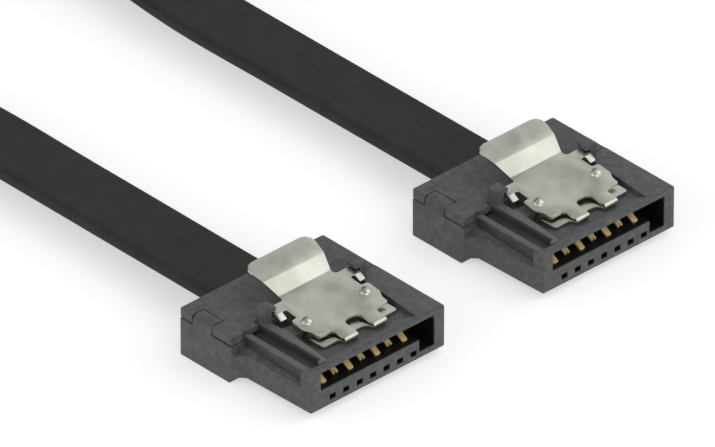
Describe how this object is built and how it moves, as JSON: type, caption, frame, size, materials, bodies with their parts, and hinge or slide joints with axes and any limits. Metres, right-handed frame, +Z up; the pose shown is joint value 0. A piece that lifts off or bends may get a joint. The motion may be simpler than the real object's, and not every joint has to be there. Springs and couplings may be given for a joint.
{
  "type": "sata data cable",
  "caption": "Flat serial data cable with a straight keyed connector on each end, each held by a sprung steel latch with a release lever.",
  "frame": {"origin": "on the surface that the cable lies on, midway between the two connectors, which lie side by side", "axes": "+X out of both mouths, +Y from connector a to connector b, +Z up, to the latches"},
  "size_m": [0.1438, 0.0566, 0.0061],
  "materials": {
    "housing_plastic": "satin charcoal moulding",
    "cover_plastic": "satin charcoal moulding",
    "latch_steel": "satin rolled spring steel",
    "contact_gold": "bright gold plate",
    "cable_jacket": "matt extruded jacket, finely ribbed"
  },
  "bodies": {
    "cable_and_housings": {"housing_a": "housing_plastic", "rear_cover_a": "cover_plastic", "contact_a_1": "contact_gold", "contact_a_2": "contact_gold", "contact_a_3": "contact_gold", "contact_a_4": "contact_gold", "contact_a_5": "contact_gold", "contact_a_6": "contact_gold", "contact_a_7": "contact_gold", "housing_b": "housing_plastic", "rear_cover_b": "cover_plastic", "contact_b_1": "contact_gold", "contact_b_2": "contact_gold", "contact_b_3": "contact_gold", "contact_b_4": "contact_gold", "contact_b_5": "contact_gold", "contact_b_6": "contact_gold", "contact_b_7": "contact_gold", "flat_cable": "cable_jacket"},
    "latch_a": {"latch_clip_a": "latch_steel"},
    "latch_b": {"latch_clip_b": "latch_steel"}
  },
  "joints": [
    {"name": "latch_a_press", "type": "hinge", "parent": "cable_and_housings", "child": "latch_a", "pos_m": [0.00456, -0.01035, 0.00381], "axis": [0, -1, 0], "range_deg": [0, 4], "stiffness_Nm_per_rad": 0.02, "springref_deg": -2.86},
    {"name": "latch_b_press", "type": "hinge", "parent": "cable_and_housings", "child": "latch_b", "pos_m": [0.00456, 0.01165, 0.00381], "axis": [0, -1, 0], "range_deg": [0, 4], "stiffness_Nm_per_rad": 0.02, "springref_deg": -2.86}
  ]
}
